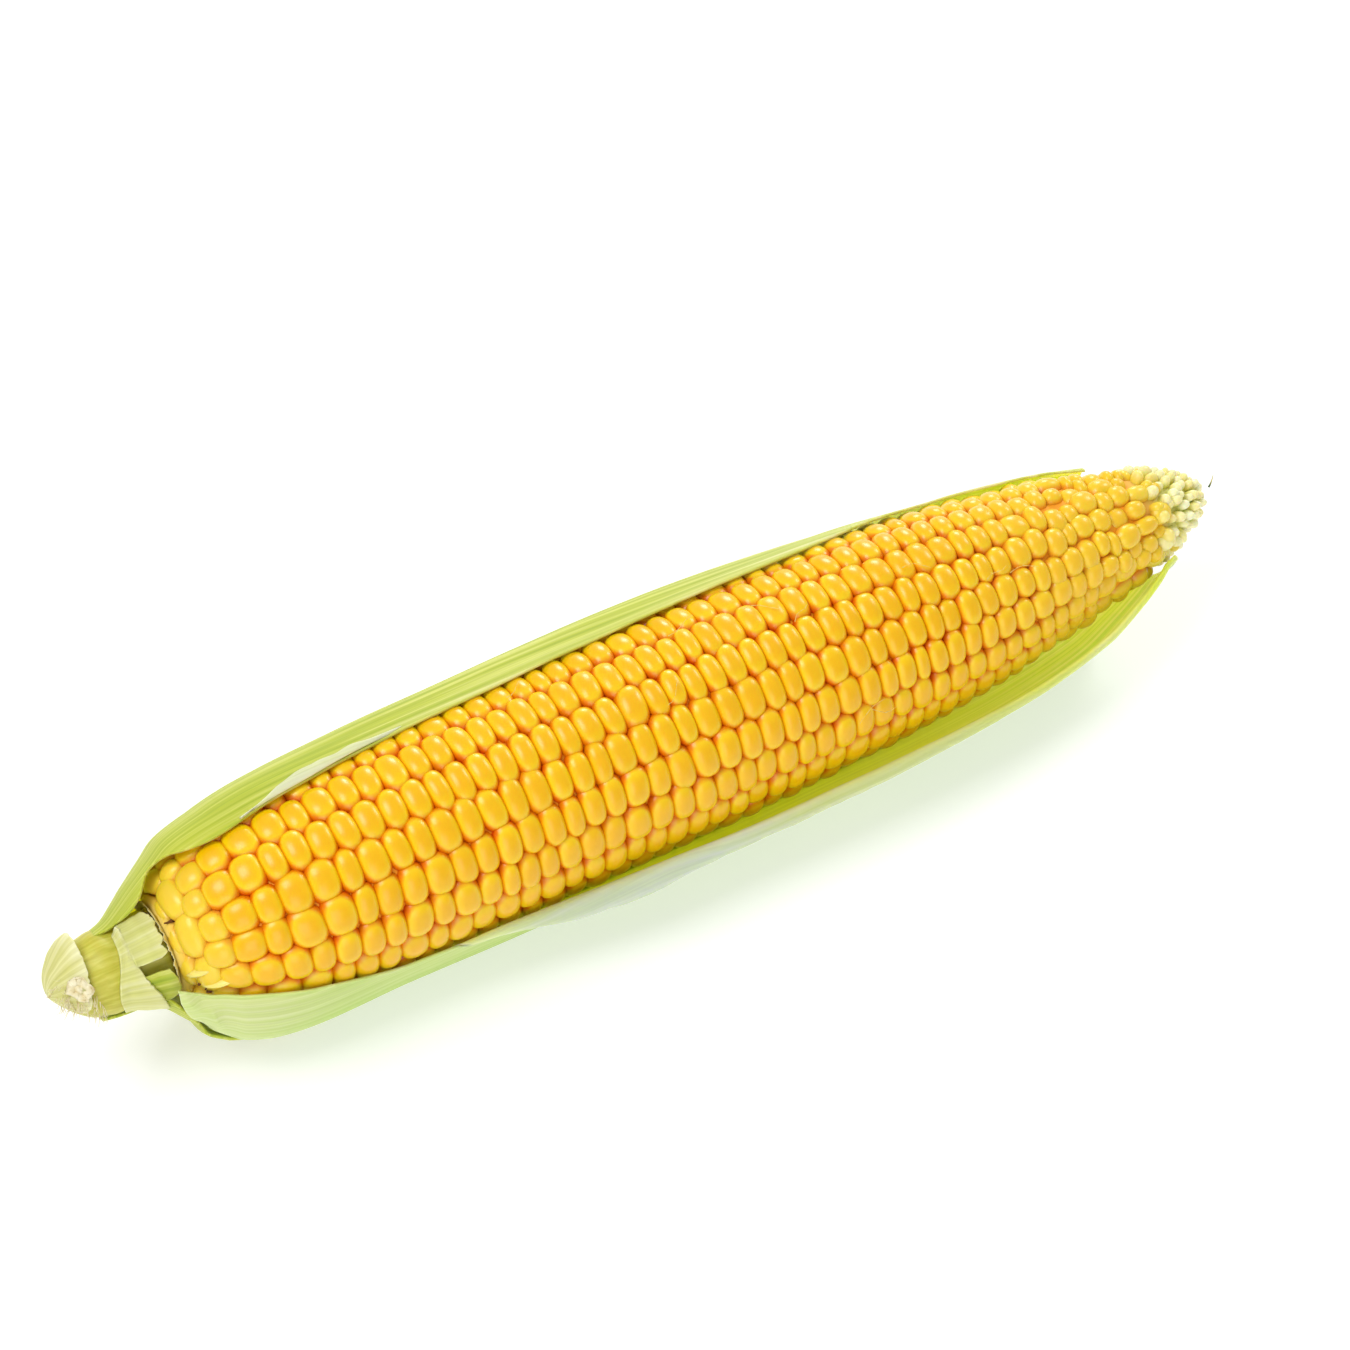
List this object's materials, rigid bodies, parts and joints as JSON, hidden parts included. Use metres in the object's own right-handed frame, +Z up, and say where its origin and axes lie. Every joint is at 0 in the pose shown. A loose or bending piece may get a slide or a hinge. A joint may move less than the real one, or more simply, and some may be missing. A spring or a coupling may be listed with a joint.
{
  "type": "corn cob",
  "caption": "Ear of sweetcorn with its husk opened at the front, lying on the husk leaves that still hold it, with a cut shank and a narrow tip.",
  "frame": {"origin": "centre of the bounding box in X and Y, on the surface the ear lies on", "axes": "+X along the ear from the cut shank to the tip, +Z up, -Y the front, where the husk is open"},
  "size_m": [0.2452, 0.0498, 0.0465],
  "materials": {
    "kernels": "smooth, waxy kernel skin",
    "shank": "smooth green stalk",
    "husk_pale": "pale inner husk leaf",
    "husk_green": "green husk leaf",
    "dry_sheath": "dry, torn leaf sheath",
    "silk": "dry silk"
  },
  "bodies": {
    "root": {"kernelled_cob": "kernels", "shank": "shank", "husk_leaf_front": "husk_pale", "husk_leaf_rear": "husk_green", "husk_leaf_under": "husk_green", "husk_stub_front": "husk_pale", "husk_stub_upper": "husk_pale", "husk_stub_lower": "husk_green", "dry_sheath_cuff": "dry_sheath", "silk_thread": "silk"}
  },
  "joints": []
}
